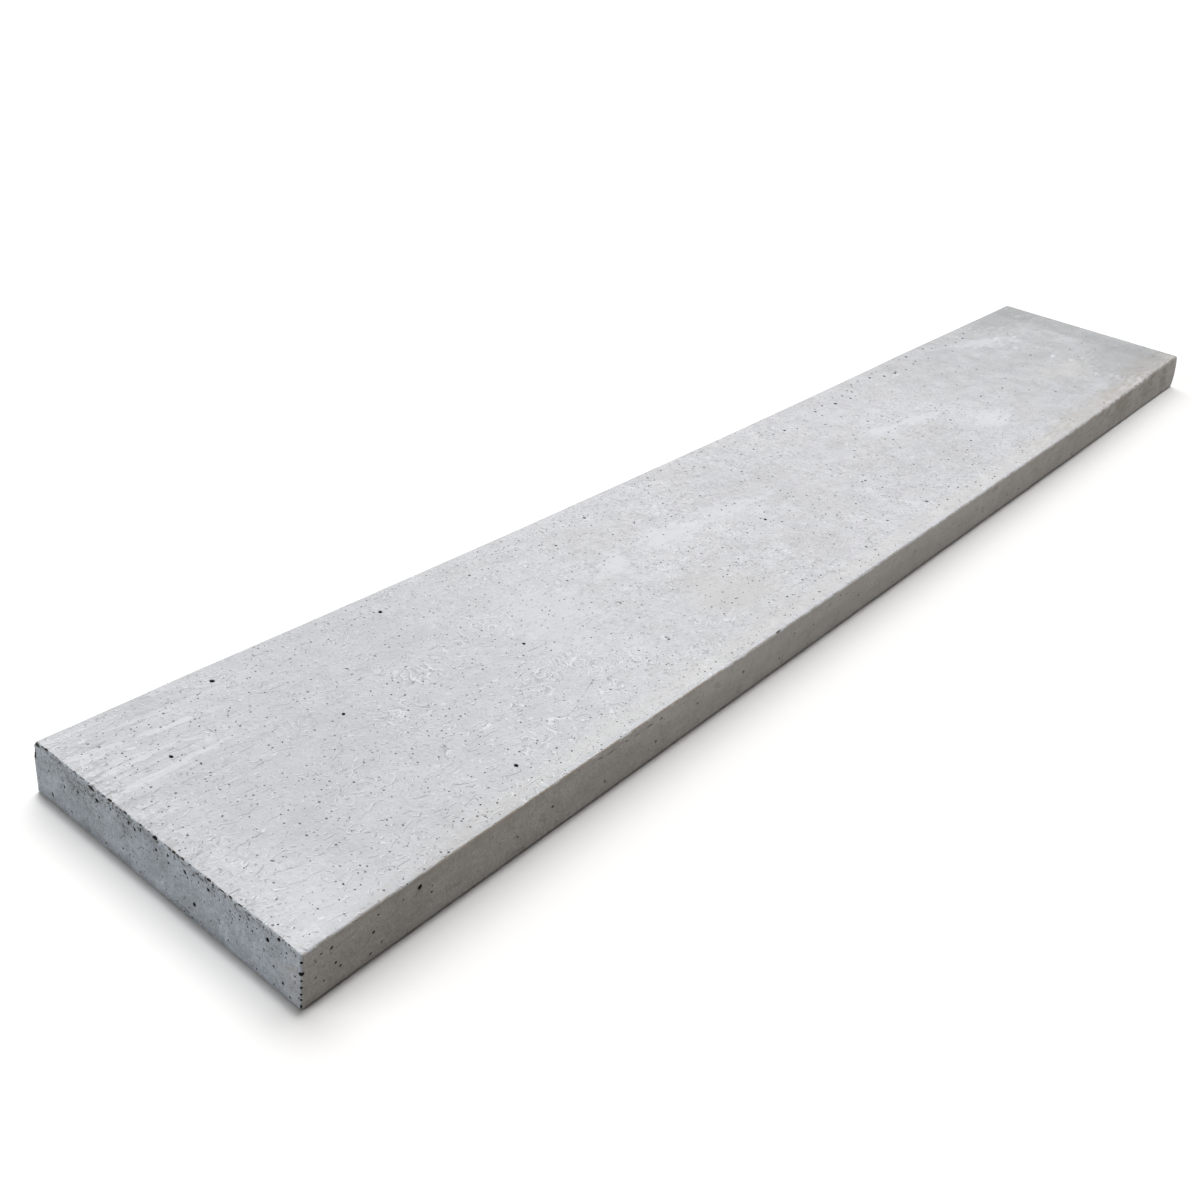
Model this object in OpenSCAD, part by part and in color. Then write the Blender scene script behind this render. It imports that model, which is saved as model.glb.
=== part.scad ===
// Smooth concrete gravel board, cast in one piece and lying on its bed face.
// Its length runs along X and its width along Y. The origin is the middle of the
// underside and +Z is up. The near end is at -X and the front long side is at -Y.

/* [Board] */
// Length of the board, end to end
board_length = 1830; // [900:10:3000]
// Width of the board as it lies, which is its height in a fence
board_width = 300; // [150:5:600]
// Thickness of the board
board_thickness = 50; // [38:1:75]

/* [Arrises] */
// Radius of the front long arris of the top face
front_arris_r = 3; // [1.5:0.5:12]
// Width of the chamfer on the back long arris at the near end, measured across the top face
back_chamfer_w = 5; // [2:0.5:15]
// Depth of the same chamfer, measured down the back side
back_chamfer_h = 7; // [2:0.5:15]
// Share of the chamfer's size that is left at the far end
back_chamfer_taper = 0.2; // [0.1:0.1:1]
// Radius of the two long arrises of the underside
bed_arris_r = 3; // [1:0.5:8]
// Radius of the bottom edges of the two ends
end_foot_r = 3; // [1:0.5:6]
// Radius of the four upright corners
corner_r = 1.5; // [0.5:0.5:4]

/* [Blowholes and chips] */
// Diameter of the blowholes in the upright edge where the near end meets the front side
corner_pit_d = 4; // [2:0.5:6]
// Height of the void in the back upright edge of the near end
back_void_h = 13; // [4:1:20]
// How far that void reaches into the board
back_void_depth = 3; // [1:0.5:6]
// Length of the chip in the front arris
arris_chip_l = 11; // [4:1:20]
// How far that chip reaches in, measured square to the arris
arris_chip_depth = 2; // [0.5:0.5:4]

/* [Hidden] */
// Blowholes of the near end: share of the way from front to back, drop below the top, diameter
end_pits = [
    [0.06, 38, 3], [0.11, 11, 5], [0.31, 9, 4], [0.36, 33, 5], [0.39, 10, 4],
    [0.58, 8, 3.5], [0.60, 7, 5], [0.73, 9, 6], [0.93, 39, 4]
];
// Blowholes of the front side: distance from the near end, drop below the top, diameter
side_pits = [[29, 27, 3], [33, 33, 3], [104, 11, 5]];
// Blowholes of the upright edge between the two: drop below the top
corner_pit_drops = [17, 29, 40];
// Distance from the near end to the chip in the front arris
arris_chip_x = 574;
// Drop from the top to the middle of the void in the back upright edge
back_void_drop = 14;
over = 1; // how far a cutter runs past the face that it cuts
$fn = 48;

// Radius of the ball that leaves a hollow of the given length and depth
function ball_r(l, depth) = (pow(l / 2, 2) + pow(depth, 2)) / (2 * depth);

// What a fillet of radius r takes away from a square corner at the origin, in the first quadrant
module corner_waste(r) {
    difference() {
        translate([-over, -over]) square(r + over);
        translate([r, r]) circle(r);
    }
}

// The cast section, seen along the board: front side at -X, underside at Y = 0
module section() {
    difference() {
        translate([-board_width / 2, 0]) square([board_width, board_thickness]);
        for (side = [0, 1]) mirror([side, 0])
            translate([-board_width / 2, 0]) corner_waste(bed_arris_r);
        translate([-board_width / 2, board_thickness]) mirror([0, 1]) corner_waste(front_arris_r);
    }
}

// The length of stock, standing on end and then laid down along X
module stock() {
    rotate([90, 0, 90]) translate([0, 0, -board_length / 2]) linear_extrude(board_length) section();
}

// Waste of the back long arris: a block whose flat underside leans as the chamfer does, and
// rises towards the far end as the chamfer narrows
module chamfer_waste() {
    lean = atan2(back_chamfer_h, back_chamfer_w);
    // how far the chamfer lies in from the square corner at the near end
    cut_in = back_chamfer_w * sin(lean);
    climb = atan2(cut_in * (1 - back_chamfer_taper), board_length);
    reach = back_chamfer_w + back_chamfer_h;
    translate([-board_length / 2, board_width / 2, board_thickness]) rotate([-lean, 0, 0])
        translate([0, 0, -cut_in]) rotate([0, -climb, 0]) translate([-over, -reach, 0])
            cube([board_length / cos(climb) + 2 * over, 2 * reach, reach]);
}

// Waste of the bottom edge and the two upright corners of the end at -X
module end_waste() {
    translate([-board_length / 2, board_width / 2 + over, 0]) rotate([90, 0, 0])
        linear_extrude(board_width + 2 * over) corner_waste(end_foot_r);
    for (side = [0, 1]) mirror([0, side, 0])
        translate([-board_length / 2, -board_width / 2, -over])
            linear_extrude(board_thickness + 2 * over) corner_waste(corner_r);
}

// Blowholes left by air against the mould, as balls centred on the cast faces
module blowholes() {
    for (pit = end_pits)
        translate([-board_length / 2, (pit[0] - 0.5) * board_width, board_thickness - pit[1]])
            sphere(d = pit[2]);
    for (pit = side_pits)
        translate([pit[0] - board_length / 2, -board_width / 2, board_thickness - pit[1]])
            sphere(d = pit[2]);
    for (drop = corner_pit_drops)
        translate([-board_length / 2, -board_width / 2, board_thickness - drop])
            sphere(d = corner_pit_d);
}

// The void in the back upright edge and the chip in the front arris, as shallow hollows
module chips() {
    void_r = ball_r(back_void_h, back_void_depth);
    translate([-board_length / 2, board_width / 2 + void_r - back_void_depth,
               board_thickness - back_void_drop])
        sphere(void_r);
    chip_r = ball_r(arris_chip_l, arris_chip_depth);
    // distance from the arc's centre to the ball's centre, out along the diagonal of the arris
    reach = (front_arris_r + chip_r - arris_chip_depth) / sqrt(2);
    translate([arris_chip_x - board_length / 2, -board_width / 2 + front_arris_r - reach,
               board_thickness - front_arris_r + reach])
        sphere(chip_r);
}

module gravel_board() {
    color([0.74, 0.74, 0.75]) difference() {
        stock();
        chamfer_waste();
        for (end = [0, 1]) mirror([end, 0, 0]) end_waste();
        blowholes();
        chips();
    }
}

gravel_board();
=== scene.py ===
# A smooth concrete gravel board, lying on its bed face on a pale studio floor.
# The frame gives its box. Length runs along X, width along Y, and the near end is at -X.
# Sizes are in millimetres until a mesh is made, and lamps, floor and camera are in metres.
import math

import bmesh
import bpy
import numpy as np
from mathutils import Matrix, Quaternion, Vector


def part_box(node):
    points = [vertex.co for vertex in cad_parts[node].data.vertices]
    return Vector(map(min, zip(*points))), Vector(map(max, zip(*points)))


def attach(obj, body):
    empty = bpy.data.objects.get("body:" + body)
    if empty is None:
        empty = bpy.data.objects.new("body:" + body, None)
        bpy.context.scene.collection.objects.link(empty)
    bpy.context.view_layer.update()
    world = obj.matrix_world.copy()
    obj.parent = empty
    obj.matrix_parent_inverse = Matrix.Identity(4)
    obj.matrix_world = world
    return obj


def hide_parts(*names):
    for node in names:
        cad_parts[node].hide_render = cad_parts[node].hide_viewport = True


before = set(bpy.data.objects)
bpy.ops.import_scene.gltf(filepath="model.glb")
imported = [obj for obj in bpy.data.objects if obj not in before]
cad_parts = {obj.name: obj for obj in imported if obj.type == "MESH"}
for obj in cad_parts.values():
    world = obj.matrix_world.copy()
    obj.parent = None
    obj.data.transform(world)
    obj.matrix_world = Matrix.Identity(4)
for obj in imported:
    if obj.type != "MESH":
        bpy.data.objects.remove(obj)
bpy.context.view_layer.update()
lowCorner, highCorner = [np.array(corner) * 1000 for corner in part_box("gravel_board")]
boardLength, boardWidth, boardThickness = highCorner - lowCorner
halfLength = boardLength / 2
halfWidth = boardWidth / 2
print("frame loaded, board", boardLength, "x", boardWidth, "x", boardThickness, "mm")

# noise and small helpers


def cellValue(cells, seed):
    # one repeatable number from 0 to 1 for each whole-numbered cell: large odd multiples of
    # its coordinates, folded over themselves
    primes = np.array([73856093, 19349663, 83492791], np.int64)[: cells.shape[1]]
    mixed = (cells * primes).sum(1) + seed * 7919
    mixed = ((mixed ^ (mixed >> 13)) * 1274126177) & 0x7FFFFFFF
    return ((mixed ^ (mixed >> 15)) & 0xFFFF) / 65535


def smoothNoise(places, cell, seed):
    # noise from 0 to 1: the values at the corners of each cell, blended across it with the
    # S-shaped weight 3t^2 - 2t^3 along every axis
    spot = np.asarray(places, float) / cell
    base = np.floor(spot).astype(np.int64)
    weight = spot - base
    weight = weight * weight * (3 - 2 * weight)
    total = np.zeros(len(spot))
    for corner in np.ndindex(*(2,) * spot.shape[1]):
        step = np.array(corner)
        total += cellValue(base + step, seed) * np.where(step, weight, 1 - weight).prod(1)
    return total


def smoothStep(values, low, high):
    # 0 below low and 1 above high, with an S-shaped rise between
    t = np.clip((values - low) / (high - low), 0, 1)
    return t * t * (3 - 2 * t)


def newObject(name, data):
    made = bpy.data.objects.new(name, data)
    bpy.context.scene.collection.objects.link(made)
    return made


def meshObject(name, points, faces):
    # a mesh object from points in millimetres, at the origin
    mesh = bpy.data.meshes.new(name)
    mesh.from_pydata((np.asarray(points) / 1000).tolist(), [], faces)
    mesh.update()
    return newObject(name, mesh)


# the cast block

board = {
    "frontArris": (2.0, 3.4),  # radius of the front long arris, at the near and the far end
    "chamferAcross": 5.0,  # back long arris at the near end, across the top face
    "chamferDown": 7.0,  # the same, down the back side
    "chamferEase": 1.4,  # how far the chamfer's own two corners are eased
    "chamferTaper": 0.2,  # share of these three that is left at the far end
    "bedArris": 2.4,  # radius of the long arrises of the underside
    "endFoot": 2.4,  # radius of the bottom edge of each end
    "endUpright": 2.1,  # radius of the upright corners
    "endTop": 2.4,  # radius of the top edge of each end
    "acrossCells": 40,  # mesh cells across the flat of the top
    "downCells": 6,  # mesh cells down the flat of a side
    "alongStep": 11.0,  # mesh step along the length
    "endStations": (0, 0.25, 0.6, 1.0, 1.5, 2.2, 3.0, 5.0, 9.0),  # rows in from each end
    "arcCells": 3,  # mesh cells in half an arris
}


def arc(centreY, centreZ, radius, start, end):
    # points on a circle from the start angle to the end angle, in degrees
    turn = np.radians(np.linspace(start, end, board["arcCells"] + 1))
    return np.stack([centreY + radius * np.cos(turn), centreZ + radius * np.sin(turn)], 1)


def easedCorner(before, corner, after):
    # the quadratic curve (1-t)^2 before + 2t(1-t) corner + t^2 after
    t = np.linspace(0, 1, board["arcCells"])[:, None]
    return (1 - t) ** 2 * before + 2 * t * (1 - t) * corner + t**2 * after


def withFlat(first, last, cells):
    # two curved stretches joined by a straight one of so many cells
    between = np.linspace(first[-1], last[0], cells + 1)[1:-1]
    return np.concatenate([first, between, last])


def sectionStretches(share, front):
    # the four stretches of the section, as (y, z) points, with the chamfer at a share of its
    # size and the front arris at its radius: underside and top run from front to back, the two
    # sides from bottom to top, and they meet in the middle of each arris
    bed, flat, side = board["bedArris"], board["acrossCells"], board["downCells"]
    ease = board["chamferEase"] * share
    across, down = board["chamferAcross"] * share, board["chamferDown"] * share
    slope = np.array([across, -down]) / math.hypot(across, down)
    topCorner = np.array([halfWidth - across, boardThickness])
    sideCorner = np.array([halfWidth, boardThickness - down])
    middle = (topCorner + sideCorner) / 2
    topEase = easedCorner(topCorner - [ease, 0], topCorner, topCorner + slope * ease)
    sideEase = easedCorner(sideCorner - [0, ease], sideCorner, sideCorner - slope * ease)
    frontBed = (-halfWidth + bed, bed, bed)
    backBed = (halfWidth - bed, bed, bed)
    frontTop = (-halfWidth + front, boardThickness - front, front)
    underside = withFlat(arc(*frontBed, 225, 270), arc(*backBed, 270, 315), flat)
    top = withFlat(arc(*frontTop, 135, 90), np.concatenate([topEase, [middle]]), flat)
    frontSide = withFlat(arc(*frontBed, 225, 180), arc(*frontTop, 180, 135), side)
    backSide = withFlat(arc(*backBed, 315, 360), np.concatenate([sideEase, [middle]]), side)
    return underside, top, frontSide, backSide


def alongStations():
    # places along the length: close together at the rounded ends, even between them
    close = np.array(board["endStations"])
    inner = halfLength - close[-1]
    even = np.linspace(-inner, inner, int(round(2 * inner / board["alongStep"])) + 1)
    return np.concatenate([-halfLength + close[:-1], even, halfLength - close[:-1][::-1]])


def patchGrid(bottom, top, left, right):
    # a Coons patch: the blend of bottom and top, plus the blend of left and right, less the
    # blend of the four corners
    u = np.linspace(0, 1, len(bottom))[:, None, None]
    v = np.linspace(0, 1, len(left))[None, :, None]
    between = (1 - v) * bottom[:, None] + v * top[:, None]
    across = (1 - u) * left[None] + u * right[None]
    first, last = [(1 - v) * bottom[end] + v * top[end] for end in (0, -1)]
    return between + across - ((1 - u) * first + u * last)


def gridFaces(rows, columns, start, flip):
    # quads over a grid of points stored row by row
    index = start + np.arange(rows * columns).reshape(rows, columns)
    quads = np.stack([index[:-1, :-1], index[1:, :-1], index[1:, 1:], index[:-1, 1:]], -1)
    quads = quads.reshape(-1, 4)
    return (quads[:, ::-1] if flip else quads).tolist()


def sectionRing(share, front):
    # the whole section as one closed row of points, and how many the underside and a side have
    underside, top, frontSide, backSide = sectionStretches(share, front)
    ring = np.concatenate([underside[:-1], backSide[:-1], top[::-1][:-1], frontSide[::-1]])
    return ring, len(underside), len(frontSide)


def makeBlock():
    # the section carried along the length with its narrowing chamfer, drawn in at both ends by
    # a quarter round whose radius depends on which way the face looks, and closed by two patches
    ring, nAcross, nDown = sectionRing(1.0, board["frontArris"][0])
    farRing = sectionRing(board["chamferTaper"], board["frontArris"][1])[0]
    around = np.roll(ring[:-1], -1, 0) - np.roll(ring[:-1], 1, 0)
    around = np.concatenate([around, around[:1]])
    outward = np.stack([around[:, 1], -around[:, 0]], 1)
    outward /= np.linalg.norm(outward, axis=1)[:, None]
    radius = (
        board["endUpright"] * outward[:, 0] ** 2
        + board["endFoot"] * np.clip(-outward[:, 1], 0, 1) ** 2
        + board["endTop"] * np.clip(outward[:, 1], 0, 1) ** 2
    )
    stations = alongStations()
    inFromEnd = (halfLength - np.abs(stations))[:, None]
    left = np.clip(radius[None] - inFromEnd, 0, None)
    drawnIn = radius[None] - np.sqrt(np.clip(radius[None] ** 2 - left**2, 0, None))
    along = ((stations + halfLength) / boardLength)[:, None, None]
    yz = ring[None] * (1 - along) + farRing[None] * along - outward[None] * drawnIn[..., None]
    x = np.broadcast_to(stations[:, None, None], yz.shape[:2] + (1,))
    skin = np.concatenate([x, yz], 2)
    points = [skin.reshape(-1, 3)]
    faces = gridFaces(len(stations), len(ring), 0, True)
    for end in (0, -1):
        edge = skin[end]
        low = edge[:nAcross]
        back = edge[nAcross - 1 : nAcross + nDown - 1]
        high = edge[nAcross + nDown - 2 : 2 * nAcross + nDown - 2][::-1]
        front = edge[2 * nAcross + nDown - 3 :][::-1]
        cap = patchGrid(low, high, front, back)
        start = sum(len(part) for part in points)
        faces += gridFaces(nAcross, nDown, start, end == 0)
        points.append(cap.reshape(-1, 3))
    block = meshObject("gravelBoardCast", np.concatenate(points), faces)
    weld = block.modifiers.new("weld", "WELD")
    weld.merge_threshold = 1e-6
    applyModifiers(block)
    return block


def applyModifiers(piece):
    # the piece's mesh becomes what its modifiers make of it
    graph = bpy.context.evaluated_depsgraph_get()
    graph.update()
    made = bpy.data.meshes.new_from_object(piece.evaluated_get(graph))
    piece.modifiers.clear()
    old = piece.data
    piece.data = made
    bpy.data.meshes.remove(old)


# air holes, voids and chips

ways = {
    # where: a point on it, direction of the first place, of the second, and straight out
    "top": ((0, 0, boardThickness), (1, 0, 0), (0, 1, 0), (0, 0, 1)),
    "underside": ((0, 0, 0), (1, 0, 0), (0, 1, 0), (0, 0, -1)),
    "frontSide": ((0, -halfWidth, 0), (1, 0, 0), (0, 0, 1), (0, -1, 0)),
    "backSide": ((0, halfWidth, 0), (1, 0, 0), (0, 0, 1), (0, 1, 0)),
    "nearEnd": ((-halfLength, 0, 0), (0, 1, 0), (0, 0, 1), (-1, 0, 0)),
    "farEnd": ((halfLength, 0, 0), (0, 1, 0), (0, 0, 1), (1, 0, 0)),
    "nearTopEdge": (
        (-halfLength + 0.7, 0, boardThickness - 0.7), (0, 1, 0), (1, 0, 1), (-1, 0, 1)
    ),
    "farTopEdge": (
        (halfLength - 0.7, 0, boardThickness - 0.7), (0, 1, 0), (-1, 0, 1), (1, 0, 1)
    ),
    "nearFootEdge": ((-halfLength + 0.9, 0, 0.9), (0, 1, 0), (1, 0, -1), (-1, 0, -1)),
    "frontCorner": ((-halfLength + 0.2, -halfWidth + 0.2, 0), (0, 0, 1), (1, -1, 0), (-1, -1, 0)),
    "backCorner": ((-halfLength, halfWidth, 0), (0, 0, 1), (1, 1, 0), (-1, 1, 0)),
    "frontArris": (
        (0, -halfWidth + 0.8, boardThickness - 0.8), (1, 0, 0), (0, 1, 1), (0, -1, 1)
    ),
    "frontFoot": ((0, -halfWidth + 0.88, 0.88), (1, 0, 0), (0, 1, -1), (0, -1, -1)),
}

namedHollows = {
    # where: first place, second place, length, width, depth, and a turn in degrees if any
    "nearEnd": [
        (-132, 12, 2.6, 2.9, 1.8), (-117, 39.5, 3.4, 4.3, 2.7, 20), (-57, 41, 3.4, 3.0, 2.0),
        (-41, 17, 3.2, 4.2, 2.9, 15), (-32, 40, 2.7, 4.2, 1.6, -30), (24, 42, 2.7, 2.9, 2.2),
        (31, 43.5, 2.6, 3.7, 2.3), (69, 40, 4.5, 3.7, 2.7, 25), (129, 9.5, 2.1, 5.1, 1.6, -10),
        (93.5, 33, 2.7, 2.6, 1.8), (52.5, 42.5, 2.1, 2.4, 1.6), (43.5, 42, 1.9, 2.6, 1.4),
        (-13.5, 43, 2.6, 2.7, 2.0), (-41, 43.5, 2.1, 1.9, 1.4), (0, 39, 2.6, 2.9, 1.6, 30),
        (-62, 48.5, 2.4, 2.1, 1.3), (-79.5, 38, 2.1, 1.8, 1.3), (-89.5, 40.5, 2.1, 1.8, 1.4),
        (-98.5, 44, 1.8, 2.2, 1.3), (-123, 20.5, 2.2, 2.1, 1.6), (1, 48.5, 6.0, 4.0, 1.8),
        (-128, 47.5, 3.2, 3.5, 1.6, 30), (17, 46, 1.4, 4.8, 1.1), (104.5, 8, 2.4, 2.1, 1.1, 20),
        (130.5, 31, 1.8, 2.4, 1.4), (111, 27.5, 1.6, 4.0, 1.1, 10), (83, 40.5, 2.1, 1.4, 1.1),
        (41.5, 23.5, 1.9, 1.6, 1.1, 30), (36, 32, 2.2, 1.3, 0.9, 30), (68, 25.5, 1.4, 3.2, 0.9, 20),
        (-38, 2.4, 1.1, 4.0, 0.9), (-32.5, 5.6, 7.0, 1.3, 0.8, 24), (75, 47.5, 9.0, 3.6, 1.4, 4),
        (148, 39.3, 4.8, 13.4, 3.0),
    ],
    "frontSide": [
        (-811, 39, 4.5, 4.3, 3.1, 40), (-886, 23, 2.4, 2.4, 1.8), (-882, 17, 2.4, 2.2, 1.8),
        (-899, 40, 2.9, 1.4, 0.9, 12), (-903, 36, 2.1, 1.3, 0.8, 60), (-890, 39, 3.5, 2.4, 1.6, 55),
        (-903, 22, 1.8, 1.6, 1.2), (-896, 14, 1.8, 1.6, 1.1), (-855, 8, 3.0, 2.1, 1.6, 30),
        (-845, 12, 2.9, 1.6, 1.2, 30), (-612, 44.2, 9.0, 1.0, 0.9, -6),
        (-597, 43.2, 13.0, 1.1, 1.0, 3), (-577, 43.4, 6.0, 1.0, 0.9, -12),
        (-563, 42.4, 8.0, 1.1, 1.0, 5), (-545, 42.9, 11.0, 1.0, 0.9, -4),
        (-529, 42.3, 5.0, 1.3, 1.1, 8),
    ],
    "frontCorner": [
        (43, 0, 2.8, 3.0, 1.6), (33, 0, 3.6, 5.6, 2.6), (27, 0, 2.2, 2.6, 1.3),
        (21, 0, 2.6, 3.0, 1.5), (15, 0, 2.4, 2.8, 1.4), (10, 0, 2.2, 2.6, 1.3),
        (4, 0, 5.0, 2.6, 1.2),
    ],
    "backCorner": [(21, 0, 3.0, 2.4, 1.0)],
    "frontArris": [(-341, 1.0, 9.0, 5.0, 0.6, 10)],
}

wideHoles = {
    # stretch: face, how many, its span of first and of second places, widths, seed
    "wholeTop": ("top", 28, (-880, 780), (-135, 125), (2.4, 4.6), 61),
    "backRow": ("top", 20, (170, 700), (112, 139), (3.2, 5.6), 67),
    "frontLength": ("frontSide", 24, (-875, 620), (7, 44), (1.9, 3.0), 71),
}

brokenEdges = [
    # edge, from, to, step, chance of a chip, length, depth, seed
    ("nearTopEdge", -144, 140, 4.6, 0.6, 6.5, 0.9, 31),
    ("farTopEdge", -144, 140, 8.0, 0.5, 5.0, 0.8, 37),
    ("nearFootEdge", -144, 140, 9.0, 0.5, 6.0, 0.8, 41),
    ("backCorner", 4, 40, 4.5, 0.6, 4.0, 0.8, 43),
    ("frontArris", -905, 905, 30, 0.4, 12, 0.3, 47),
    ("frontFoot", -905, 905, 17, 0.5, 8, 0.5, 53),
]

airHoles = {
    # where: cell of the scatter, usual width of a hole, margins in from the two rims of the
    # second place and of the first, seed
    "top": (8.6, 1.15, (7, 9), 5, 3),
    "underside": (13.0, 1.8, (7, 7), 9, 5),
    "frontSide": (5.6, 1.3, (5, 7), 6, 7),
    "backSide": (6.4, 1.4, (5, 10), 6, 11),
    "nearEnd": (4.2, 1.45, (3, 2), 4, 13),
    "farEnd": (5.4, 1.5, (3, 3), 5, 17),
}


def holeChance(where, first, second):
    # how likely a cell of the scatter is to hold a hole: more of them near the near end, where
    # the mix was worked least, and towards the rims, with thin and crowded patches between
    patches = 0.45 + 1.1 * smoothNoise(np.stack([first, second], 1), 55, 21)
    if where == "top":
        nearness = 0.05 + 0.08 * smoothStep(-first, -650, -150)
        nearness += 0.16 * smoothStep(-first, -350, 620)
        rim = 1 + 0.7 * smoothStep(np.abs(second), 95, 140)
        cluster = smoothStep(-np.abs(first - 390), -140, -60) * smoothStep(second, 108, 126)
        return nearness * rim * patches + 0.15 * cluster
    if where == "nearEnd":
        upper = smoothStep(second, 24, 40)
        crumbly = smoothStep(-np.abs(first - 98), -22, -8) * smoothStep(second, 27, 36)
        return 0.07 + 0.27 * upper * patches + 0.5 * crumbly
    if where == "frontSide":
        return (0.03 + 0.11 * smoothStep(-first, 350, 860)) * patches
    return 0.13 * patches


def hollowFrames(where, rows):
    # for each hollow, its centre and its three half sizes along, across and out of the face;
    # a row without a turn gets 0
    rows = np.array([(*row, 0)[:6] for row in rows], float)
    point, firstWay, secondWay, out = [np.array(part, float) for part in ways[where]]
    secondWay /= np.linalg.norm(secondWay)
    out /= np.linalg.norm(out)
    centre = point + rows[:, :1] * firstWay + rows[:, 1:2] * secondWay
    turn = np.radians(rows[:, 5:6])
    along = np.cos(turn) * firstWay + np.sin(turn) * secondWay
    across = np.cross(out, along)  # right-handed, so that no ball is turned inside out
    halves = [along * rows[:, 2:3] / 2, across * rows[:, 3:4] / 2, out * rows[:, 4:5]]
    return np.stack([centre] + halves, 1)


def spreadHoles(where, count, firstSpan, secondSpan, widths, seed):
    # wide holes over a stretch of a face: one in each equal share of its length, at random in
    # the middle 60% of that share, and anywhere across it; more of them narrow than wide
    draws = np.random.default_rng(seed).random((count, 5))
    share = np.arange(count) + 0.2 + 0.6 * draws[:, 0]
    first = firstSpan[0] + share / count * (firstSpan[1] - firstSpan[0])
    second = secondSpan[0] + draws[:, 1] * (secondSpan[1] - secondSpan[0])
    size = widths[0] + draws[:, 2] ** 2 * (widths[1] - widths[0])
    long = size * (1 + 0.3 * draws[:, 3])
    turn = draws[:, 4] * 180
    return hollowFrames(where, np.stack([first, second, long, size, size * 0.55, turn], 1))


def scatterHoles(where):
    # at most one hole in each cell of a grid over the face, kept by chance, moved about inside
    # its cell, and of a size spread evenly in its logarithm
    cell, width, rims, ends, seed = airHoles[where]
    spanFirst = (halfWidth if "End" in where else halfLength) - ends
    flat = where in ("top", "underside")
    low = (-halfWidth if flat else 0) + rims[0]
    high = (halfWidth if flat else boardThickness) - rims[1]
    first = np.arange(-spanFirst + cell / 2, spanFirst, cell)
    second = np.linspace(low, high, int((high - low) / cell) + 1)[:-1] + cell / 2
    first, second = [axis.ravel() for axis in np.meshgrid(first, second)]
    rng = np.random.default_rng(seed)
    draws = rng.random((len(first), 7))
    kept = draws[:, 0] < holeChance(where, first, second)
    first, second, draws = first[kept], second[kept], draws[kept]
    size = width * np.exp(0.75 * (draws[:, 1] ** 1.6 - 0.35))
    if flat:
        size = size * (1 + 0.9 * smoothStep(first, -750, 150))
    room = cell / 2 - size * 0.75
    first = first + (draws[:, 2] * 2 - 1) * room
    second = second + (draws[:, 3] * 2 - 1) * room
    stretch = 1 + 0.5 * draws[:, 4] ** 2
    turn = draws[:, 5] * 180
    depth = size * (0.45 + 0.35 * draws[:, 6])
    return hollowFrames(where, np.stack([first, second, size * stretch, size, depth, turn], 1))


def clearOf(frames, others, gap):
    # the hollows that keep so far from the others, going by their largest half sizes
    reach = np.linalg.norm(frames[:, 1:], axis=2).max(1)
    otherReach = np.linalg.norm(others[:, 1:], axis=2).max(1)
    apart = np.linalg.norm(frames[:, None, 0] - others[None, :, 0], axis=2)
    return frames[(apart > reach[:, None] + otherReach[None] + gap).all(1)]


def ballShape(sides, rings):
    # a ball of radius 1: a pole, rings of equal latitude steps, and the other pole
    latitude = np.radians(np.linspace(90, -90, rings + 2)[1:-1])[:, None]
    around = (np.arange(sides) * 2 * np.pi / sides)[None] + np.arange(rings)[:, None] * 0.3
    ring = [np.cos(latitude) * np.cos(around), np.cos(latitude) * np.sin(around)]
    points = np.stack(ring + [np.broadcast_to(np.sin(latitude), around.shape)], 2)
    points = np.concatenate([[[0, 0, 1]], points.reshape(-1, 3), [[0, 0, -1]]])
    side = np.arange(sides)
    after = (side + 1) % sides
    first, last = 1 + side, 1 + (rings - 1) * sides + side
    capTop = np.stack([np.zeros_like(side), first, 1 + after], 1)
    capLow = np.stack([np.full_like(side, len(points) - 1), last[after], last], 1)
    rows = 1 + np.arange(rings - 1)[:, None] * sides
    bands = np.stack([rows + side, rows + sides + side, rows + sides + after, rows + after], -1)
    return points, capTop, capLow, bands.reshape(-1, 4)


def makeCutter(name, frames, sides, rings, rough, seed):
    # one mesh of many balls, each pulled to its own half sizes and made rough by moving every
    # point in or out by up to the given share
    shape, capTop, capLow, bands = ballShape(sides, rings)
    rng = np.random.default_rng(seed)
    swell = 1 + rough * (rng.random((len(frames), len(shape), 1)) * 2 - 1)
    points = frames[:, None, 0] + np.einsum("nmk,nkd->nmd", shape[None] * swell, frames[:, 1:])
    start = (np.arange(len(frames)) * len(shape))[:, None, None]
    faces = []
    for part in (capTop, capLow, bands):
        faces += (part[None] + start).reshape(-1, part.shape[1]).tolist()
    cutter = meshObject(name, points.reshape(-1, 3), faces)
    cutter.data.materials.append(hollowWall)
    return cutter


def cutAway(piece, cutter):
    # takes the cutter out of the piece; the new faces take the cutter's material
    cut = piece.modifiers.new("cut", "BOOLEAN")
    cut.operation = "DIFFERENCE"
    cut.solver = "MANIFOLD"
    cut.material_mode = "TRANSFER"
    cut.object = cutter
    applyModifiers(piece)
    bpy.data.objects.remove(cutter)


def edgeChips(where, low, high, step, chance, length, depth, seed):
    # chips along an edge: one at most in each step, of random length and depth
    places = np.arange(low, high, step)
    draws = np.random.default_rng(seed).random((len(places), 6))
    kept = draws[:, 0] < chance
    places, draws = places[kept], draws[kept]
    long = length * (0.35 + 0.65 * draws[:, 1] ** 2)
    deep = depth * (0.3 + 0.7 * draws[:, 2]) * long / length
    wide = deep * (2.2 + 2.0 * draws[:, 3])
    slip = (draws[:, 4] * 2 - 1) * 0.25
    along = places + draws[:, 5] * (step - long).clip(0)
    return hollowFrames(where, np.stack([along, slip, long, wide, deep, slip * 30], 1))


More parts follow.
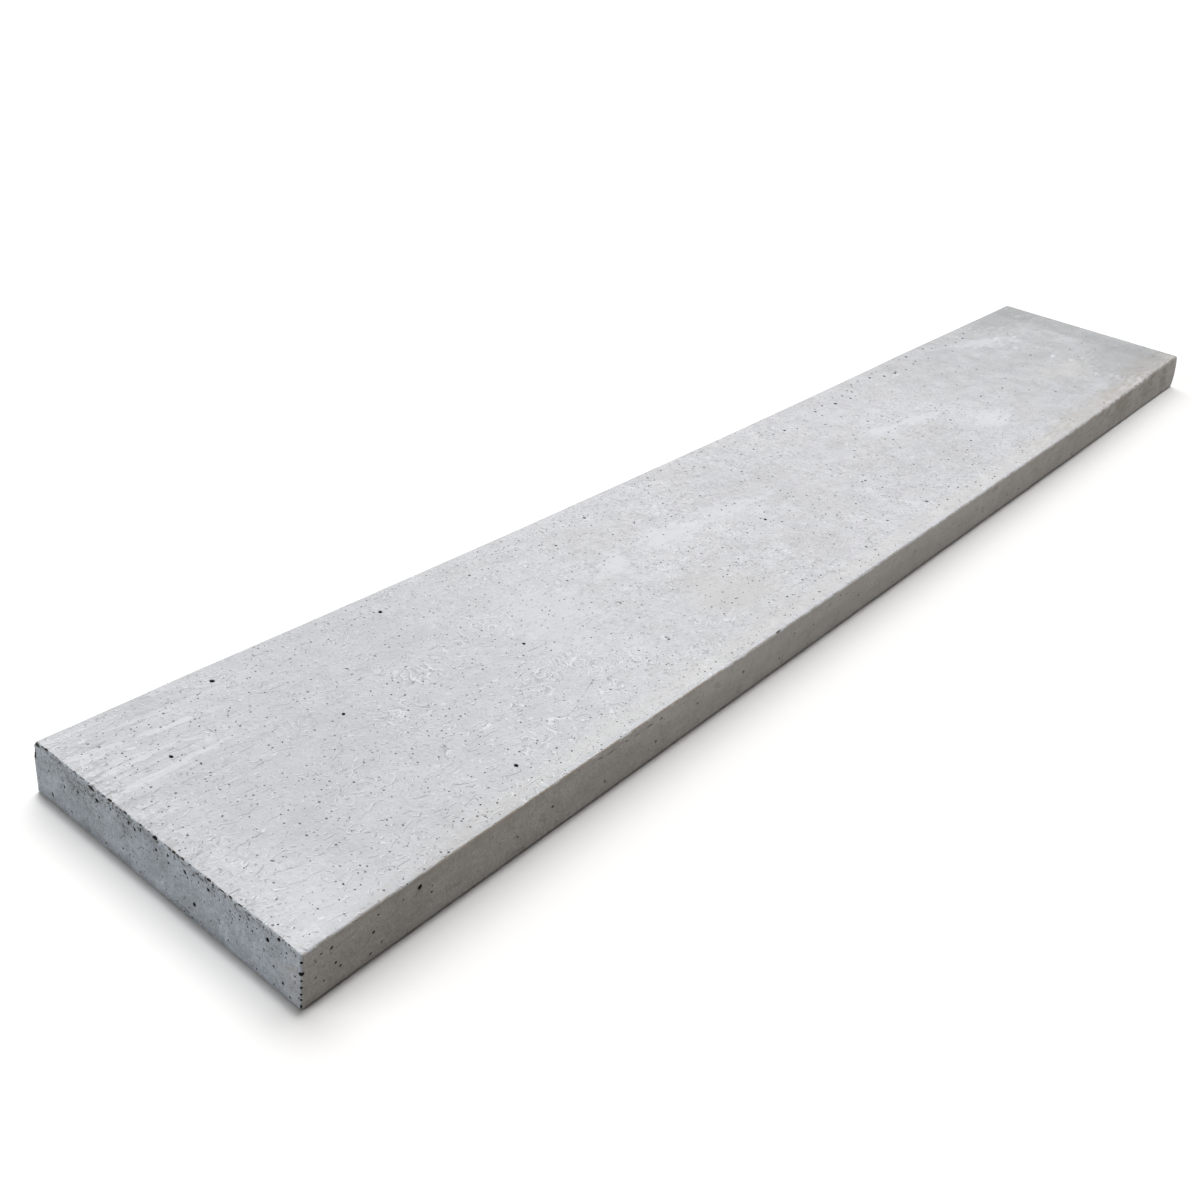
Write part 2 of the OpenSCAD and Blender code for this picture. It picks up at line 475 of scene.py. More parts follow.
def cutHollows(piece):
    # every hollow of the board, from the largest to the smallest, each kept clear of the last
    large = np.concatenate([hollowFrames(*named) for named in namedHollows.items()])
    for stretch in wideHoles.values():
        large = np.concatenate([large, clearOf(spreadHoles(*stretch), large, 0.4)])
    cutAway(piece, makeCutter("largeHollows", large, 10, 5, 0.13, 1))
    chips = [edgeChips(*row) for row in brokenEdges]
    chips = clearOf(np.concatenate(chips), large, -0.6)
    cutAway(piece, makeCutter("edgeChips", chips, 9, 4, 0.22, 2))
    taken = np.concatenate([large, chips])
    small = np.concatenate([clearOf(scatterHoles(where), taken, 0.4) for where in airHoles])
    cutAway(piece, makeCutter("airHoles", small, 6, 2, 0.15, 4))
    print("hollows cut:", len(large), "large,", len(chips), "chips,", len(small), "small")


# finishing the mesh

form = {
    "dip": 2.2,  # how much lower the back of the top lies at mid length than at the ends
    "bow": 4.4,  # how far the back side is bowed in at most
    "bowPlace": -130.0,  # where along the length that is
    "bowReach": 640.0,  # how far from there the bow has run out
    "farLean": 6.0,  # how far the front side leans in at its top, at the far end
    "topWaves": 0.5,  # height of the slow waves in the top
    "sideWaves": 0.3,  # depth of the slow waves in the two long sides
    "endWaves": 0.9,  # depth of the slow waves in the two ends
    "waveLength": 95.0,
    "crumb": 60,  # a loose part with fewer corners is a crumb, and is dropped
}

sheet = {
    # layout of the colour map, in millimetres: side, half of the length or 0 for all of it,
    # axes of the two places, corner of the tile, share of full size
    "top": ((2, 1), (0, 1), [((0, 0), -1), ((0, 304), 1)], 1.0),
    "frontSide": ((1, -1), (0, 2), [((0, 608), -1), ((0, 662), 1)], 1.0),
    "backSide": ((1, 1), (0, 2), [((0, 716), -1), ((0, 770), 1)], 1.0),
    "nearEnd": ((0, -1), (1, 2), [((0, 824), 0)], 1.0),
    "farEnd": ((0, 1), (1, 2), [((304, 824), 0)], 1.0),
    "underside": ((2, -1), (0, 1), [((0, 878), 0)], 0.5),
}
sheetMargin, sheetSize = 2.0, 1034.0


def readNumbers(items, name, width, kind=np.float64):
    # one property of every item of a mesh, as an array
    found = np.empty(len(items) * width, kind)
    items.foreach_get(name, found)
    return found.reshape(-1, width) if width > 1 else found


def pointsOf(mesh):
    return readNumbers(mesh.vertices, "co", 3) * 1000


def facesOf(mesh):
    # for each corner of each face: the face, the edge and the vertex
    count = readNumbers(mesh.polygons, "loop_total", 1, np.int32)
    face = np.repeat(np.arange(len(count)), count)
    edge = readNumbers(mesh.loops, "edge_index", 1, np.int32)
    return face, edge, readNumbers(mesh.loops, "vertex_index", 1, np.int32)


def dropCrumbs(piece):
    # every vertex takes the lowest label that its neighbours hold, until nothing changes;
    # vertices whose label few others share are a crumb that the cuts left, and are deleted
    mesh = piece.data
    edges = readNumbers(mesh.edges, "vertices", 2, np.int32)
    label = np.arange(len(mesh.vertices))
    while True:
        low = label[edges].min(1)
        after = label.copy()
        np.minimum.at(after, edges[:, 0], low)
        np.minimum.at(after, edges[:, 1], low)
        after = after[after]
        if (after == label).all():
            break
        label = after
    loose = np.bincount(label, minlength=len(label))[label] < form["crumb"]
    whole = bmesh.new()
    whole.from_mesh(mesh)
    whole.verts.ensure_lookup_table()
    crumbs = [whole.verts[index] for index in np.flatnonzero(loose)]
    bmesh.ops.delete(whole, geom=crumbs, context="VERTS")
    whole.to_mesh(mesh)
    whole.free()
    print("crumbs dropped:", int(loose.sum()), "corners")


def markRims(piece):
    # the skin is shaded smooth, and its edges are sharp where it meets the wall of a hollow
    mesh = piece.data
    face, edge, _ = facesOf(mesh)
    wall = readNumbers(mesh.polygons, "material_index", 1, np.int32) == 1
    pair = wall[face[np.argsort(edge, kind="stable")]].reshape(-1, 2)
    mesh.polygons.foreach_set("use_smooth", np.ones(len(mesh.polygons), bool))
    mesh.edges.foreach_set("use_edge_sharp", pair[:, 0] != pair[:, 1])


def layDepth(piece):
    # the attribute holeDepth: 0 on the skin, and on the walls of hollows the millimetres below
    # the nearest flat or long arris; close to an upright edge the further flat counts
    mesh = piece.data
    points = pointsOf(mesh)
    away = np.stack([
        boardThickness - points[:, 2],
        points[:, 2],
        halfWidth - np.abs(points[:, 1]),
        halfLength - np.abs(points[:, 0]),
    ])
    radius = sum(board["frontArris"]) / 2
    side = halfWidth + points[:, 1]
    underArris = radius - np.hypot(radius - away[0], radius - side)
    depth = np.where((away[0] < radius) & (side < radius), underArris, away.min(0))
    upright = (away[2:].max(0) < 5) & (away[0] > 2.5)
    depth = np.where(upright, away[2:].max(0), depth)
    face, _, vertex = facesOf(mesh)
    skin = readNumbers(mesh.polygons, "material_index", 1, np.int32) == 0
    onSkin = np.zeros(len(points), bool)
    onSkin[vertex[skin[face]]] = True
    depth = np.where(onSkin, 0, depth)
    layer = mesh.attributes.new("holeDepth", "FLOAT", "POINT")
    layer.data.foreach_set("value", depth.astype(np.float32))


def layMap(piece):
    # a colour map made of flat tiles: each face is laid on the side of the block that it is
    # nearest to, seen straight on
    mesh = piece.data
    points = pointsOf(mesh)
    face, _, vertex = facesOf(mesh)
    middle = readNumbers(mesh.polygons, "center", 3) * 1000
    low = np.array([-halfLength, -halfWidth, 0])
    high = np.array([halfLength, halfWidth, boardThickness])
    gap = []
    for (axis, direction), *_ in sheet.values():
        end = high if direction > 0 else low
        gap.append(np.abs(middle[:, axis] - end[axis]))
    nearest = np.argmin(np.stack(gap), 0)
    places = np.zeros((len(vertex), 2))
    for index, (_, axes, tiles, share) in enumerate(sheet.values()):
        for corner, half in tiles:
            chosen = nearest == index
            if half:
                chosen &= (middle[:, 0] > 0) == (half > 0)
            start = low.copy()
            if half > 0:
                start[0] = 0
            at = chosen[face]
            spot = (points[vertex[at]] - start)[:, list(axes)] * share
            places[at] = (spot + np.array(corner) + sheetMargin) / sheetSize
    layer = mesh.uv_layers.new(name="OFBake")
    layer.uv.foreach_set("vector", places.astype(np.float32).ravel())


def castWaves(first, second, seed):
    # slow waves from 0 to 1, in two sizes
    places = np.stack([first, second], 1)
    slow = smoothNoise(places, form["waveLength"], seed)
    return 0.7 * slow + 0.3 * smoothNoise(places, form["waveLength"] / 4, seed + 1)


def warpBlock(piece):
    # draws every face inwards from the block's box: thickness is scaled by the dip and the
    # waves of the top, width by the bow and the waves of the sides, length by those of the ends
    mesh = piece.data
    points = pointsOf(mesh)
    x, y, z = points.T
    middle = 1 - (x / halfLength) ** 2
    bowed = np.clip(1 - ((x - form["bowPlace"]) / form["bowReach"]) ** 2, 0, 1)
    across = y / boardWidth
    along = x / boardLength
    fadeEnd = smoothStep(halfLength - np.abs(x), 0, 60)
    lowerTop = form["dip"] * middle * (0.85 + 0.3 * across)
    lowerTop += form["topWaves"] * castWaves(x, y, 61) * fadeEnd
    frontIn = form["sideWaves"] * castWaves(x, z, 67) * fadeEnd
    frontIn += form["farLean"] * smoothStep(x, 440, 930) * (z / boardThickness) ** 2
    backIn = form["sideWaves"] * castWaves(x, z, 71) * fadeEnd + form["bow"] * bowed
    fadeSide = smoothStep(halfWidth - np.abs(y), 0, 25)
    nearIn = form["endWaves"] * castWaves(y, z, 73) * fadeSide
    farIn = form["endWaves"] * castWaves(y, z, 79) * fadeSide
    moved = np.stack([
        x + nearIn * (0.5 - along) - farIn * (0.5 + along),
        y + frontIn * (0.5 - across) - backIn * (0.5 + across),
        z * (1 - lowerTop / boardThickness),
    ], 1)
    mesh.vertices.foreach_set("co", (moved / 1000).astype(np.float32).ravel())
    mesh.update()


def makeBoard():
    piece = makeBlock()
    print("block of", len(piece.data.polygons), "faces")
    piece.data.materials.append(castSkin)
    for step in (cutHollows, dropCrumbs, markRims, layDepth, layMap, warpBlock):
        step(piece)
    even = piece.modifiers.new("even", "WEIGHTED_NORMAL")
    even.keep_sharp = True
    applyModifiers(piece)
    piece.data.calc_loop_triangles()
    print("board of", len(piece.data.loop_triangles), "triangles")
    return piece


# shader helpers


class Signal:
    # a number of a shader tree, which can be added to and multiplied by others as it stands
    def __init__(self, tree, socket):
        self.tree = tree
        self.socket = socket

    def join(self, operation, other=0.0, swapped=False):
        pair = (other, self) if swapped else (self, other)
        return shaderMath(self.tree, operation, *pair)

    def __lt__(self, other):
        return self.join("LESS_THAN", other)

    def __abs__(self):
        return self.join("ABSOLUTE")


def addOperator(symbol, operation):
    # signal + number and number + signal, and so on
    setattr(Signal, f"__{symbol}__", lambda one, other: one.join(operation, other))
    setattr(Signal, f"__r{symbol}__", lambda one, other: one.join(operation, other, True))


for symbol, operation in {"add": "ADD", "sub": "SUBTRACT", "mul": "MULTIPLY",
                          "truediv": "DIVIDE"}.items():
    addOperator(symbol, operation)


def plug(tree, socket, value):
    # links a signal or an output to a socket, or sets a plain value on it
    if isinstance(value, Signal):
        value = value.socket
    if isinstance(value, bpy.types.NodeSocket):
        tree.links.new(value, socket)
    else:
        socket.default_value = value


def addNode(tree, kind, inputs=None, **settings):
    made = tree.nodes.new("ShaderNode" + kind)
    for name, value in settings.items():
        setattr(made, name, value)
    for name, value in (inputs or {}).items():
        plug(tree, made.inputs[name], value)
    return made


def shaderMath(tree, operation, *values):
    made = addNode(tree, "Math", operation=operation)
    for socket, value in zip(made.inputs, values):
        plug(tree, socket, value)
    return Signal(tree, made.outputs[0])


def fraction(signal):
    return signal.join("FRACT")


def vectorMath(tree, operation, first, second=None, scale=None):
    made = addNode(tree, "VectorMath", operation=operation)
    plug(tree, made.inputs[0], first)
    if second is not None:
        plug(tree, made.inputs[1], second)
    if scale is not None:
        plug(tree, made.inputs["Scale"], scale)
    if operation in ("LENGTH", "DOT_PRODUCT"):
        return Signal(tree, made.outputs["Value"])
    return made.outputs["Vector"]


def axesOf(tree, vector):
    parts = addNode(tree, "SeparateXYZ", {"Vector": vector}).outputs
    return [Signal(tree, part) for part in parts]


def turned(tree, vector, angle):
    made = addNode(tree, "VectorRotate", {"Vector": vector, "Angle": angle},
                   rotation_type="Z_AXIS")
    return made.outputs[0]


def rise(value, low, high):
    # 0 up to low and 1 from high on, with an S-shaped rise between; high may lie below low
    made = addNode(value.tree, "MapRange", interpolation_type="SMOOTHSTEP")
    for socket, number in zip(made.inputs, (value, low, high, 0.0, 1.0)):
        plug(value.tree, socket, number)
    return Signal(value.tree, made.outputs[0])


def mixColours(factor, first, second):
    made = addNode(factor.tree, "Mix", data_type="RGBA")
    for index, value in ((0, factor), (6, first), (7, second)):
        plug(factor.tree, made.inputs[index], value)
    return made.outputs[2]


def noiseAt(tree, place, size, detail=2.0, rough=0.5, bend=0.0):
    # noise from 0 to 1 whose bumps are about size across
    made = addNode(tree, "TexNoise", {
        "Vector": place, "Scale": 1.0 / size,
        "Detail": detail, "Roughness": rough, "Distortion": bend,
    })
    return Signal(tree, made.outputs[0])


def stretched(tree, place, sizes, angle=0.0):
    # the place in units of the three sizes, after a turn in degrees about the upright
    return vectorMath(tree, "DIVIDE", turned(tree, place, math.radians(angle)), sizes)


def swing(noise, strength):
    # a noise from 0 to 1 turned into a change of up to the strength either way
    return (noise * 2 - 1) * strength


def newGroup(name, inputs, outputs):
    # a shader node group on a place; an input is its name and default, and a tuple makes it a
    # vector
    group = bpy.data.node_groups.new(name, "ShaderNodeTree")
    inputs = {"Place": (0.0, 0.0, 0.0), **inputs}
    for label, default in inputs.items():
        kind = "NodeSocketVector" if isinstance(default, tuple) else "NodeSocketFloat"
        socket = group.interface.new_socket(label, in_out="INPUT", socket_type=kind)
        socket.default_value = default
    for label in outputs:
        group.interface.new_socket(label, in_out="OUTPUT", socket_type="NodeSocketFloat")
    entry = group.nodes.new("NodeGroupInput").outputs
    leave = group.nodes.new("NodeGroupOutput").inputs
    given = {
        label: entry[label] if isinstance(default, tuple) else Signal(group, entry[label])
        for label, default in inputs.items()
    }
    return group, given, leave


def useGroup(tree, group, inputs):
    made = addNode(tree, "Group", inputs, node_tree=group)
    return {output.name: Signal(tree, output) for output in made.outputs}


# effects that the materials share


def makeCementTone():
    # four noises from -1 to 1, of clouds, patches, grain and sand, each times its strength
    group, given, out = newGroup("cementTone", {
        "Cloud Size": 110.0, "Patch Size": 24.0, "Grain Size": 3.2,
        "Clouds": 0.05, "Patches": 0.04, "Grain": 0.04, "Sand": 0.05,
    }, ["Tone", "Relief"])
    place = given["Place"]
    clouds = noiseAt(group, place, given["Cloud Size"], 1.0, 0.5, 0.4)
    patches = noiseAt(group, place, given["Patch Size"], 2.0, 0.6, 0.6)
    grain = noiseAt(group, place, given["Grain Size"], 2.0, 0.65)
    sand = noiseAt(group, place, 1.1, 1.0, 0.5)
    tone = swing(clouds, given["Clouds"]) + swing(patches, given["Patches"])
    tone = tone + swing(grain, given["Grain"]) + swing(sand, given["Sand"])
    plug(group, out["Tone"], tone)
    plug(group, out["Relief"], patches + grain * 0.5 + sand * 0.2)
    return group


def randomCells(group, given, dimensions):
    # a pattern of cells: its sockets, three random numbers from 0 to 1 for each cell, and how
    # far the place lies from the point of its cell, in units of the spacing
    spread = vectorMath(group, "SCALE", given["Place"], scale=1.0 / given["Spacing"])
    cells = addNode(group, "TexVoronoi", {"Vector": spread, "Scale": 1.0},
                    voronoi_dimensions=dimensions).outputs
    parts = addNode(group, "SeparateColor", {"Color": cells["Color"]}).outputs
    offset = vectorMath(group, "SUBTRACT", spread, cells["Position"])
    return cells, [Signal(group, part) for part in parts], offset


def makeAirSpecks():
    # round pits at the points of a cell pattern: each cell has one by chance, of its own width,
    # with a soft edge, and a ring on the side that faces the light: a raised lip in the bump, a
    # painted highlight in the colour
    group, given, out = newGroup("airSpecks", {
        "Spacing": 5.0, "Width": 0.8, "Chance": 0.4,
    }, ["Pit", "Lit Lip"])
    cells, (draw, width, _), offset = randomCells(group, given, "3D")
    distance = Signal(group, cells["Distance"]) * given["Spacing"]
    radius = given["Width"] * (width * width * 0.45 + 0.3)
    there = draw < given["Chance"]
    outward = vectorMath(group, "NORMALIZE", offset)
    side = vectorMath(group, "DOT_PRODUCT", outward, (-0.9, -0.1, 0.4))
    ring = rise(distance, radius * 0.7, radius * 1.1) * rise(distance, radius * 2.0, radius * 1.2)
    plug(group, out["Pit"], rise(distance, radius * 1.15, radius * 0.45) * there)
    plug(group, out["Lit Lip"], ring * rise(side, 0.1, 0.8) * there)
    return group


def makeStrokes():
    # short curved strokes, one to a cell of a flat pattern: the way across a stroke is measured
    # from the parabola bend * along^2, and a stroke tapers out towards both of its ends; half of
    # them are pale, partly a painted highlight, with a painted shadow along one side, the others
    # dark
    group, given, out = newGroup("strokes", {
        "Spacing": 14.0, "Length": 10.0, "Width": 1.0, "Bend": 0.5,
        "Chance": 0.6, "Turn": 0.0, "Spread": 3.14,
    }, ["Light", "Dark"])
    _, (red, green, blue), offset = randomCells(group, given, "2D")
    offset = vectorMath(group, "SCALE", offset, scale=given["Spacing"])
    angle = (red - 0.5) * given["Spread"] + given["Turn"]
    along, across, _ = axesOf(group, turned(group, offset, angle))
    half = given["Length"] * (green * green * 0.35 + 0.15)
    share = along / half
    width = given["Width"] * (0.35 + 0.3 * fraction(green * 9.0))
    off = across - share * share * half * swing(blue, given["Bend"])
    ends = rise(abs(share), 1.0, 0.5)
    pick = fraction((red + green + blue) * 7.3)
    there = (pick < given["Chance"]) * ends
    pale = fraction(pick * 57.0) < 0.55
    line = rise(abs(off), width, width * 0.3) * there
    # painted shadow beside a pale stroke
    shade = rise(abs(off + width * 1.7), width, width * 0.3) * there
    plug(group, out["Light"], line * pale)
    plug(group, out["Dark"], shade * pale * 0.6 + line * (1.0 - pale))
    return group


def makeCurls():
    # broken level lines of a bent noise, which wind about as slurry does behind a float, and the
    # painted shadow that runs along one side of each
    group, given, out = newGroup("curls", {
        "Size": 14.0, "Width": 0.05, "Levels": 3.0, "Cover": 0.5,
        "Gate Size": 9.0,
    }, ["Line", "Shade"])
    field = noiseAt(group, given["Place"], given["Size"], 1.0, 0.5, 1.2)
    width = given["Width"] * given["Levels"]
    line = rise(abs(fraction(field * given["Levels"]) - 0.5), width, 0.0)
    # painted shadow: a second line just beside each level line
    beside = field * given["Levels"] + width * 1.3
    shade = rise(abs(fraction(beside) - 0.5), width, 0.0)
    moved = vectorMath(group, "ADD", given["Place"], (310.0, 170.0, 40.0))
    part = noiseAt(group, moved, given["Gate Size"], 1.0)
    gate = 1.0 - given["Cover"]
    shown = rise(part, gate, gate + 0.06)
    plug(group, out["Line"], line * shown)
    plug(group, out["Shade"], shade * shown)
    return group


def makeRubbedPatch():
    # an oval patch: 1 inside and 0 outside, where the distance from its centre, counted in its
    # own half sizes and stirred by a noise from -1 to 1, passes 1
    group, given, out = newGroup("rubbedPatch", {
        "Centre": (0.0, 0.0, 0.0), "Half Sizes": (50.0, 20.0, 500.0),
        "Turn": 0.0, "Stir": 0.0, "Ragged": 0.6, "Soft": 0.4,
    }, ["Mask"])
    offset = vectorMath(group, "SUBTRACT", given["Place"], given["Centre"])
    offset = turned(group, offset, given["Turn"])
    span = vectorMath(group, "LENGTH", vectorMath(group, "DIVIDE", offset, given["Half Sizes"]))
    reach = span + given["Stir"] * given["Ragged"]
    plug(group, out["Mask"], rise(reach, 1.0 + given["Soft"], 1.0 - given["Soft"]))
    return group


def makeWrinkleShading():
    # painted light and shade of fine wrinkles, as a slanting light would show them: a noise less
    # the same noise a little further towards the light
    group, given, out = newGroup("wrinkleShading", {
        "Size": 6.0, "Step": 0.15,
    }, ["Tone"])
    spread = vectorMath(group, "SCALE", given["Place"], scale=1.0 / given["Size"])
    moved = vectorMath(group, "SCALE", (0.8, 0.5, 0.3), scale=given["Step"])
    moved = vectorMath(group, "ADD", spread, moved)
    here, there = [noiseAt(group, spot, 1.0, 3.0, 0.7, 0.5) for spot in (spread, moved)]
    plug(group, out["Tone"], (here - there) * 5.0)
    return group


cementTone = makeCementTone()
wrinkleShading = makeWrinkleShading()
airSpecks = makeAirSpecks()
strokes = makeStrokes()
curls = makeCurls()
rubbedPatch = makeRubbedPatch()


def newMaterial(name):
    # an empty material: its tree, its shader and the place on the object in millimetres
    made = bpy.data.materials.new(name)
    made.use_nodes = True
    tree = made.node_tree
    shader = tree.nodes["Principled BSDF"]
    shader.inputs["Specular IOR Level"].default_value = 0.3
    source = addNode(tree, "TexCoord").outputs["Object"]
    return made, tree, shader, vectorMath(tree, "SCALE", source, scale=1000.0)


def bumpFrom(tree, height):
    # turns a height in millimetres into a normal
    made = addNode(tree, "Bump", {"Height": height, "Distance": 0.001, "Strength": 1.0})
    return made.outputs["Normal"]


# the concrete

concrete = {
    "top": (0.655, 0.655, 0.670, 1.0),  # colour of the floated top
    "topNear": (0.602, 0.616, 0.638, 1.0),  # cooler tone that its near end tends to
    "topPale": (0.690, 0.693, 0.720, 1.0),  # the same where lime has come up in clouds
    "topFar": (0.500, 0.508, 0.518, 1.0),  # dark clouds of its far end
    "shade": (0.40, 0.405, 0.41, 1.0),  # the darkest clouds of the top
    "sides": (0.69, 0.65, 0.60, 1.0),  # colour of the moulded long sides; its warm cast is partly a painted tint of the light
    "ends": (0.460, 0.500, 0.545, 1.0),  # colour of the ends, a cooler grey; its blue cast is partly a painted cool fill light
    "bloom": (0.80, 0.815, 0.85, 1.0),  # lime bloom
    "stain": (0.42, 0.36, 0.30, 1.0),  # brown stain
    "cream": (0.700, 0.690, 0.665, 1.0),  # warmer strip of the top along the front arris
    "crumbs": (0.085, 0.075, 0.062, 1.0),  # dark crumbs and lines in the edges, and the painted shade along the foot
    "speckShadeAndDirt": (0.13, 0.125, 0.12, 1.0),  # bottom of the smallest air holes: partly dirt, partly painted shade
    "rimWallShadeAndDirt": (0.36, 0.35, 0.335, 1.0),  # wall of a hollow, near its rim: partly dirt, partly painted shade
    "deepWallShadeAndDirt": (0.03, 0.03, 0.03, 1.0),  # wall of a hollow, at full depth: partly dirt, partly painted shade
}

clouds = [
    # on the top: centre, half sizes, turn in degrees, ragged, softness of the rim, colour, strength
    ((-896, 108), (24, 2.6), 9, 0.9, 0.2, "bloom", 0.6),
    ((-846, 101), (16, 1.6), 9, 0.9, 0.12, "bloom", 0.6),
    ((-827, 97), (18, 2.2), 4, 1.0, 0.12, "bloom", 0.7),
    ((-876, 79), (34, 2.2), 1, 1.0, 0.2, "bloom", 0.75),
    ((-868, 55), (48, 3.2), -1, 1.0, 0.2, "bloom", 0.75),
    ((-828, 55), (14, 3.4), -4, 1.0, 0.12, "bloom", 0.7),
    ((-846, 119), (28, 1.0), 9, 0.8, 0.12, "bloom", 0.6),
    ((-845, 113), (20, 0.9), 6, 0.8, 0.12, "bloom", 0.4),
    ((-872, -112), (26, 40), 0, 0.8, 0.5, "bloom", 0.3),
    ((-485, 5), (46, 46), 15, 1.0, 0.5, "bloom", 0.4),
    ((-357, 32), (24, 14), -10, 0.9, 0.6, "bloom", 0.8),
    ((-265, 31), (42, 16), 0, 1.0, 0.6, "bloom", 0.75),
    ((-165, 24), (72, 8), 4, 0.9, 0.4, "bloom", 0.6),
    ((205, 22), (34, 11), 10, 1.0, 0.5, "bloom", 0.7),
    ((278, 12), (36, 10), 10, 1.0, 0.5, "bloom", 0.7),
    ((370, -55), (36, 20), 8, 1.0, 0.6, "bloom", 0.8),
    ((675, 90), (54, 14), 22, 1.0, 0.6, "bloom", 0.55),
    ((412, 110), (9, 3), 0, 1.0, 0.3, "bloom", 0.7),
    ((704, 46), (6, 4), 0, 1.0, 0.3, "bloom", 0.7),
    ((720, 86), (8, 3), 0, 1.0, 0.3, "bloom", 0.7),
    ((754, 70), (9, 3), 0, 1.0, 0.3, "bloom", 0.7),
    ((720, -8), (8, 3), -20, 1.0, 0.3, "bloom", 0.8),
    ((728, -36), (6, 4), 0, 1.0, 0.3, "bloom", 0.8),
    ((728, -66), (7, 4), 0, 1.0, 0.3, "bloom", 0.7),
    ((698, -84), (9, 3), 0, 1.0, 0.3, "bloom", 0.7),
    ((777, -94), (6, 2.4), -30, 1.0, 0.3, "bloom", 0.7),
    ((868, 112), (13, 3), 10, 1.0, 0.3, "bloom", 0.6),
    ((-805, 0), (76, 62), 0, 0.8, 0.6, "shade", 0.12),
    ((-625, 88), (90, 40), 0, 0.9, 0.6, "shade", 0.08),
    ((-295, -62), (84, 38), 0, 0.8, 0.6, "shade", 0.1),
    ((-310, -75), (46, 34), 0, 0.8, 0.6, "cream", 0.4),
    ((-70, 72), (95, 26), 0, 1.0, 0.6, "shade", 0.12),
    ((185, -62), (120, 44), 0, 0.9, 0.6, "shade", 0.15),
    ((392, 74), (34, 26), 0, 0.8, 0.6, "shade", 0.16),
    ((680, -50), (60, 24), 10, 0.9, 0.7, "cream", 0.4),
    ((815, -95), (100, 62), 0, 0.6, 0.35, "shade", 0.5),
    ((825, 125), (90, 30), 0, 0.8, 0.5, "shade", 0.5),
]

stainsAndShadows = [
    # centre, half sizes, colour, strength, softness of the rim
    ((420, -150, 38), (190, 30, 12), "stain", 0.25, 0.7),
    ((640, -150, 30), (34, 30, 22), "stain", 0.45, 0.7),
    ((760, -150, 34), (30, 30, 18), "stain", 0.5, 0.7),
    ((852, -150, 26), (16, 30, 16), "stain", 0.5, 0.7),
    ((-760, -150, 44), (90, 20, 7), "stain", 0.3, 0.7),
    ((-890, -150, 14), (50, 20, 16), "stain", 0.2, 0.7),
    ((820, -128, 50), (110, 22, 20), "stain", 0.4, 0.7),
    ((560, -134, 50), (160, 14, 20), "stain", 0.4, 0.7),
    ((-341, -149, 49), (6, 3, 3), "bloom", 0.7, 0.4),
    ((-915, 90, 41), (20, 30, 12), "crumbs", 0.55, 0.7),
    ((-915, 20, 47), (20, 60, 5), "crumbs", 0.4, 0.7),
    ((-915, -75, 47), (20, 30, 4), "crumbs", 0.4, 0.7),
    ((-850, -150, 30), (60, 20, 26), "stain", 0.15, 0.7),
    ((-560, -150, 20), (90, 20, 16), "stain", 0.2, 0.7),
    ((-915, -30, 3), (20, 20, 4), "crumbs", 0.4, 0.7),
    # painted shadow: two near black patches in the voids at the top of the back upright corner of
    # the near end
    ((-915, 149.6, 39), (5, 2.4, 6.6), "deepWallShadeAndDirt", 1.0, 0.12),
    ((-915, 144.5, 48.3), (2, 4.8, 1.5), "deepWallShadeAndDirt", 1.0, 0.2),
]


floatMarks = {
    # strokes on the top: shift of the pattern, spacing, length, width, bend, chance, spread
    "short": ((0.0, 0.0), 5.2, 6.5, 1.15, 0.45, 0.45, 1.9),
    "wide": ((23.0, 71.0), 10.0, 17.0, 2.4, 0.8, 0.6, 2.6),
    "thin": ((70.0, 31.0), 17.0, 34.0, 1.1, 0.25, 0.6, 0.9),
    "fleck": ((11.0, 57.0), 15.0, 8.0, 3.2, 0.8, 0.4, 1.2),
}


def over(colour, amount, name):
    # so much of one of the concrete's colours over another
    return mixColours(amount, colour, concrete[name])


def layStrokes(tree, place):
    # every set of float marks, by name
    made = {}
    for name, (shift, *values) in floatMarks.items():
        moved = vectorMath(tree, "ADD", place, (*shift, 0.0))
        inputs = dict(zip(("Spacing", "Length", "Width", "Bend", "Chance", "Spread"), values))
        made[name] = useGroup(tree, strokes, {"Place": moved, "Turn": 0.1, **inputs})
    return made


def layPatches(tree, place, stir, top, crumbs, colour):
    # the clouds and then the stains and painted shadows, each an oval with a stirred rim
    def patch(centre, halfSizes, turn, ragged, soft):
        return useGroup(tree, rubbedPatch, {
            "Place": place, "Centre": centre, "Half Sizes": halfSizes,
            "Turn": math.radians(turn), "Stir": stir, "Ragged": ragged, "Soft": soft,
        })["Mask"]

    for centre, halfSizes, turn, ragged, soft, tint, strength in clouds:
        mask = patch((*centre, boardThickness), (*halfSizes, 30.0), turn, ragged, soft)
        colour = over(colour, mask * top * strength, tint)
    for centre, halfSizes, tint, strength, soft in stainsAndShadows:
        mask = patch(centre, halfSizes, 0.0, soft + 0.3, soft)
        amount = mask * strength * (1.0 - 0.45 * top)
        if tint == "crumbs":
            amount = amount * rise(crumbs, 0.46, 0.58)
        colour = over(colour, amount, tint)
    return colour


